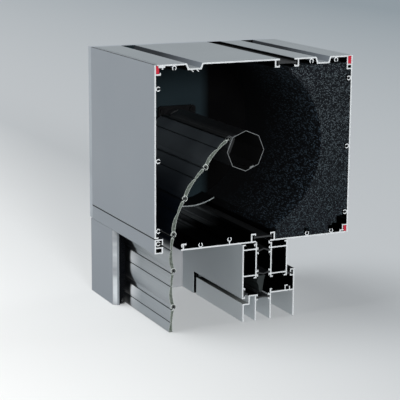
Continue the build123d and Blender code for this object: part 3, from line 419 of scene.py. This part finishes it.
def tube_steel(name, tint):
    """Galvanised tube, darkened as painted shade, and near black inside as painted shade."""
    shader = Shader(name, roughness=0.35, metallic=0.75)
    low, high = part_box("octagonal_tube")
    axis = (low + high) / 2
    out_x = shader.times(shader.math("SUBTRACT", shader.x, axis.x), shader.normal_x)
    out_z = shader.times(shader.math("SUBTRACT", shader.z, axis.z), shader.normal_z)
    # painted shade: faces inside the tube are near black
    inner = shader.below(shader.math("ADD", out_x, out_z), -1.0 * MM)
    tone = shader.split(shader.cells(260.0, output="Color"))[0]
    cloud = shader.grain(45.0, 4.0)
    steel = shader.blend(tone, scaled(tint, 0.82), rgb(*tint))
    steel = shader.blend(shader.ramp(cloud, 0.45, 0.8, 0.0, 0.5), steel, scaled(tint, 0.6))
    rim = shader.facing_out(shader.normal_y, shader.y, CUT_END)
    steel = shader.blend(rim, steel, rgb(0.22, 0.23, 0.23))
    shader.colour(shader.blend(inner, steel, rgb(0.002, 0.002, 0.0025)))
    gloss = shader.ramp(cloud, 0.3, 0.7, 0.3, 0.42)
    shader.roughness(shader.math("ADD", gloss, shader.times(inner, 0.5)))
    shader.bump(cloud, 0.06, 0.1 * MM)
    return shader.material


def rubber(name, tint, fine=1800.0):
    """Matt rubber with fine specks and a faint bloom."""
    shader = Shader(name, roughness=0.6, Specular_IOR_Level=0.2)
    speck = shader.grain(fine, 3.0)
    bloom = shader.grain(60.0, 3.0)
    base = shader.blend(shader.ramp(speck, 0.3, 0.7), scaled(tint, 0.8), rgb(*tint))
    dull = rgb(*(part * 0.9 + 0.01 for part in tint))
    shader.colour(shader.blend(shader.ramp(bloom, 0.5, 0.75, 0.0, 0.15), base, dull))
    shader.roughness(shader.ramp(bloom, 0.3, 0.7, 0.5, 0.7))
    shader.bump(speck, 0.2, 0.15 * MM)
    return shader.material


def plastic(name, tint, roughness=0.45):
    """Moulded plastic with a fine spark-eroded grain."""
    shader = Shader(name, roughness=roughness)
    texture = shader.cells(1700.0)
    drift = shader.grain(25.0, 3.0)
    shader.colour(shader.blend(shader.ramp(drift, 0.3, 0.7), scaled(tint, 0.88), scaled(tint, 1.08)))
    shader.roughness(shader.ramp(drift, 0.3, 0.7, roughness - 0.06, roughness + 0.08))
    shader.bump(texture, 0.15, 0.12 * MM)
    return shader.material


def plated_steel(name, tint, roughness=0.3, spangle=260.0):
    """Zinc-coated steel: spangled, a little cloudy."""
    shader = Shader(name, roughness=roughness, metallic=0.9)
    tone = shader.split(shader.cells(spangle, output="Color"))[0]
    cloud = shader.grain(45.0, 4.0)
    base = shader.blend(tone, scaled(tint, 0.82), rgb(*tint))
    shader.colour(shader.blend(shader.ramp(cloud, 0.45, 0.8, 0.0, 0.5), base, scaled(tint, 0.6)))
    shader.roughness(shader.ramp(cloud, 0.3, 0.7, roughness - 0.05, roughness + 0.12))
    shader.bump(cloud, 0.06, 0.1 * MM)
    return shader.material


COAT = (0.215, 0.243, 0.275)
# the frame and sash carry the box's grey made lighter, as painted light where the box shades them
FRAME_COAT = (0.48, 0.52, 0.54)
SASH_COAT = (0.66, 0.70, 0.72)
DEEP = 0.3 * MM                                    # how far behind a visible face the hollows begin
BELOW, ABOVE = -1.0, 1.0                           # levels clear of the whole object


def hollow_span(out_face, in_face, low, high):
    """Span of the hollows between two visible faces across X."""
    return Vector((out_face + DEEP, 0, low)), Vector((in_face - DEEP, 0, high))


FRAME_OUT, FRAME_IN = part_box("frame_head_outer")[0].x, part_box("frame_head_inner")[1].x
SASH_OUT, SASH_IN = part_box("sash_rail_outer")[0].x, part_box("sash_rail_inner")[1].x
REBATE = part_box("sash_rail_inner")[1].z - 25.5 * MM     # hollows above this level lie in deep shade
FRAME_HOLLOW = hollow_span(FRAME_OUT, FRAME_IN, REBATE, ABOVE)
SASH_HOLLOW = hollow_span(SASH_OUT, SASH_IN, REBATE, ABOVE)
JAMB_HOLLOW = hollow_span(FRAME_OUT, FRAME_IN, BELOW, ABOVE)
BOX_HOLLOW = hollow_span(BOX_LOW.x, BOX_HIGH.x, BOX_LOW.z + DEEP, BOX_HIGH.z - DEEP)
GUIDE_SLOT = (Vector((GUIDE_OUT + 6.4 * MM, 0, BELOW)), Vector((GUIDE_OUT + 31.4 * MM, 0, ABOVE)))
SEAM = (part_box("front_panel")[0].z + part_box("front_lower_profile")[1].z) / 2
LOOKS = {
    "coated_aluminium": powder_coat("guide_coat", COAT, GUIDE_SLOT, bevel=True),
    "box_coat": powder_coat("box_coat", COAT, BOX_HOLLOW, open_above=BOX_HIGH.z - 8 * MM,
                            far_floor=BOX_LOW.z + 14 * MM, seam=SEAM),
    "jamb_coat": powder_coat("jamb_coat", FRAME_COAT, JAMB_HOLLOW),
    "frame_coat": powder_coat("frame_coat", FRAME_COAT, FRAME_HOLLOW),
    "sash_coat": powder_coat("sash_coat", SASH_COAT, SASH_HOLLOW, ledges=True),
    "mill_aluminium": plated_steel("mill_aluminium", (0.72, 0.73, 0.74), 0.32, 900.0),
    "galvanised_steel": plated_steel("galvanised_steel", (0.42, 0.43, 0.45)),
    "horn_plastic": horn_plastic("horn_plastic"),
    "hook_aluminium": plated_steel("hook_aluminium", (0.10, 0.105, 0.11), 0.45, 900.0),
    # the tube's dark tint is painted shade
    "tube_steel": tube_steel("tube_steel", (0.05, 0.052, 0.056)),
    "shaft_steel": plated_steel("shaft_steel", (0.16, 0.16, 0.165), 0.5, 900.0),
    "zinc_steel": plated_steel("zinc_steel", (0.62, 0.62, 0.60), 0.28, 900.0),
    # near black: a black finish, darkened further as painted shade inside the box
    "blackened_steel": plated_steel("blackened_steel", (0.004, 0.004, 0.0045), 0.6, 900.0),
    "black_plastic": plastic("black_plastic", (0.010, 0.011, 0.012)),
    "cap_plastic": end_cap_plastic("cap_plastic", (0.34, 0.37, 0.40)),
    "limit_plastic": plastic("limit_plastic", (0.70, 0.62, 0.10), 0.4),
    "motor_core": plated_steel("motor_core", (0.22, 0.22, 0.23), 0.5, 900.0),
    "red_rubber": rubber("red_rubber", (0.42, 0.012, 0.03)),
    "grey_rubber": rubber("grey_rubber", (0.016, 0.020, 0.020)),
    "black_rubber": rubber("black_rubber", (0.018, 0.019, 0.02)),
    "grey_foam": bead_foam("bead_foam"),
    "slat_foam": slat_foam("slat_foam"),
    "brush_pile": rubber("brush_pile", (0.004, 0.005, 0.007), 3000.0),
}
OWN_LOOKS = {"octagonal_tube": "tube_steel", "inlet_horn": "horn_plastic", "hook_rail": "hook_aluminium",
             "output_shaft": "shaft_steel", "motor_bracket": "blackened_steel",
             "motor_bracket_screws": "blackened_steel"}
for node in ("front_panel", "front_lower_profile", "top_panel_outer", "top_panel_inner", "rear_panel",
             "bottom_panel_outer", "bottom_panel_inner"):
    OWN_LOOKS[node] = "box_coat"
for side in ("outer", "inner"):
    OWN_LOOKS[f"frame_head_{side}"] = "frame_coat"
    OWN_LOOKS[f"frame_jamb_{side}"] = "jamb_coat"
    OWN_LOOKS[f"sash_rail_{side}"] = "sash_coat"
    OWN_LOOKS[f"sash_stile_{side}"] = "sash_coat"


def slat_pivots():
    """Pivots of the six slats at rest, from the tube down; the lower ones hang straight."""
    joints = {joint["name"]: joint for joint in frame["record"]["behaviour"]["joints"]}
    pivots = [Vector(joints[f"slat_{number}_bend"]["pos_m"]) for number in (1, 2, 3)]
    up_to_tube = Vector((math.cos(TOP_LEAN), 0, math.sin(TOP_LEAN)))
    pivots.insert(0, pivots[0] + SLAT_PITCH * up_to_tube)
    for _ in range(3):
        pivots.append(pivots[-1] - Vector((0, 0, SLAT_PITCH)))
    return pivots


PIVOTS = slat_pivots()
for number, (head, foot) in enumerate(zip(PIVOTS, PIVOTS[1:]), start=1):
    LOOKS[f"slat_{number}"] = slat_skin(f"slat_{number}_coat", head, (foot - head).normalized())
    OWN_LOOKS[f"slat_{number}_skin"] = f"slat_{number}"
for entry in frame["record"]["subparts"]:
    look = OWN_LOOKS.get(entry["node"], entry["material_slot"])
    slots = frame["nodes"][entry["node"]].data.materials
    slots.clear()
    slots.append(LOOKS[look])


# --- Brush strips of the guide rail -------------------------------------------------------------------
def box_faces(mesh, low, high):
    """Adds a closed box to a bmesh."""
    made = bmesh.ops.create_cube(mesh, size=1.0)["verts"]
    size = high - low
    for vert in made:
        vert.co = (low + high) / 2 + Vector(vert.co[axis] * size[axis] for axis in range(3))


def fibre(mesh, root, tip, width):
    """Adds one closed, tapering, three-sided fibre with a slight bow."""
    ahead = (tip - root).normalized()
    side = ahead.orthogonal().normalized()
    sag = 0.04 * (tip - root).length
    middle = (root + tip) / 2 - Vector((0, 0, sag))
    rings = []
    for centre, half in ((root, width / 2), (middle, width * 0.45), (tip, width * 0.2)):
        turns = (Matrix.Rotation(math.tau * corner / 3, 3, ahead) for corner in range(3))
        rings.append([mesh.verts.new(centre + turn @ side * half) for turn in turns])
    mesh.faces.new(rings[0])
    mesh.faces.new(reversed(rings[-1]))
    for ring, following in zip(rings, rings[1:]):
        for corner in range(3):
            after = (corner + 1) % 3
            mesh.faces.new((ring[after], ring[corner], following[corner], following[after]))


def brush_strips():
    """Pile of the two strips: a woven backing with rows of fibres that reach for the slats."""
    low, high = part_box("guide_brushes")
    backing, row_pitch, width, per_row = 1.2 * MM, 0.75 * MM, 0.32 * MM, 6
    outer_depth, inner_depth = 9.0 * MM, 5.2 * MM       # how far each pile reaches across the slot
    drift = 0.3                                         # stray of a root, as a share of its pitch
    shortest = 0.88                                     # least length of a fibre, as a share of its reach
    lean = 0.2 * MM                                     # stray of a tip along Y
    draw = random.Random(7)
    mesh = bmesh.new()
    for root_x, reach in ((low.x, outer_depth), (high.x, -inner_depth)):
        inward = backing if reach > 0 else -backing
        edges = sorted((root_x, root_x + inward))
        box_faces(mesh, Vector((edges[0], low.y, low.z)), Vector((edges[1], high.y, high.z)))
        for row in range(int((high.z - low.z) / row_pitch) - 1):
            for column in range(per_row):
                y = low.y + (column + 0.5 + draw.uniform(-drift, drift)) / per_row * (high.y - low.y)
                z = low.z + (row + 1 + draw.uniform(-drift, drift)) * row_pitch
                root = Vector((root_x + inward * 0.5, y, z))
                tip_x = root_x + reach * draw.uniform(shortest, 1.0)
                tip = Vector((tip_x, y + draw.uniform(-lean, lean), z))
                fibre(mesh, root, tip, width)
    data = bpy.data.meshes.new("brush_pile_strips")
    bmesh.ops.recalc_face_normals(mesh, faces=mesh.faces)
    mesh.to_mesh(data)
    mesh.free()
    strips = bpy.data.objects.new("brush_pile_strips", data)
    bpy.context.scene.collection.objects.link(strips)
    strips.data.materials.append(LOOKS["brush_pile"])
    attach(strips, "box")
    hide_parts("guide_brushes")


# --- Floor, light and camera --------------------------------------------------------------------------
def studio_floor():
    """Plain pale floor that the sawn ends stand on, lit a little from within, with painted shade darkening it
    towards the indoor side.
    """
    bpy.ops.mesh.primitive_plane_add(size=40.0, location=(0, 0, SAWN_LEVEL - 0.5 * MM))
    floor = bpy.context.object
    floor.name = "studio_floor"
    shader = Shader("floor_paint", roughness=0.7, Specular_IOR_Level=0.2)
    tone = shader.grain(3.0, 2.0)
    near = shader.blend(shader.ramp(tone, 0.3, 0.7), rgb(0.485, 0.487, 0.481), rgb(0.495, 0.500, 0.494))
    far = shader.blend(shader.ramp(shader.x, 0.3, 2.4), rgb(0.228, 0.239, 0.247), rgb(0.117, 0.137, 0.151))
    # painted shade: the floor darkens towards the indoor side
    paint = shader.blend(shader.ramp(shader.x, -0.45, 0.16), near, far)
    shader.colour(paint)
    shader.feed(shader.bsdf.inputs["Emission Color"], paint)
    shader.bsdf.inputs["Emission Strength"].default_value = 1.0
    floor.data.materials.append(shader.material)


def distant_light(name, heading, strength, spread, tint=(1.0, 1.0, 1.0)):
    """Soft parallel light that travels along heading, spread over an angle given in degrees."""
    data = bpy.data.lights.new(name, "SUN")
    data.energy = strength
    data.angle = math.radians(spread)
    data.color = tint
    lamp = bpy.data.objects.new(name, data)
    lamp.rotation_euler = Vector(heading).to_track_quat("-Z", "Y").to_euler()
    bpy.context.scene.collection.objects.link(lamp)


def studio():
    """Dim sky and three soft lights: from above, from the cut end, and from indoors."""
    scene = bpy.context.scene
    world = bpy.data.worlds.new("studio")
    world.use_nodes = True
    sky = world.node_tree.nodes["Background"]
    sky.inputs["Color"].default_value = (0.90, 0.95, 1.0, 1.0)
    sky.inputs["Strength"].default_value = 0.16
    scene.world = world
    scene.view_settings.view_transform = "Standard"
    distant_light("key", (0.36, -0.22, -0.88), 2.85, 40.0)
    distant_light("front", (0.15, 0.96, -0.20), 3.0, 14.0, (0.96, 0.98, 1.0))
    distant_light("indoor_fill", (-0.8, -0.1, -0.6), 0.6, 40.0)


def camera():
    """Looks at the cut end from the outdoor side, a little from above."""
    place = Vector((-0.6889, -1.4078, 0.1768))
    yaw, pitch, roll = (math.radians(angle) for angle in (25.39, 12.54, 0.36))
    ahead = Vector((math.sin(yaw) * math.cos(pitch), math.cos(yaw) * math.cos(pitch), -math.sin(pitch)))
    turn = ahead.to_track_quat("-Z", "Y").to_matrix() @ Matrix.Rotation(roll, 3, "Z")
    data = bpy.data.cameras.new("camera")
    data.sensor_width = 36.0
    data.lens = 125.9
    eye = bpy.data.objects.new("camera", data)
    eye.matrix_world = Matrix.Translation(place) @ turn.to_4x4()
    bpy.context.scene.collection.objects.link(eye)
    bpy.context.scene.camera = eye


brush_strips()
studio_floor()
studio()
camera()
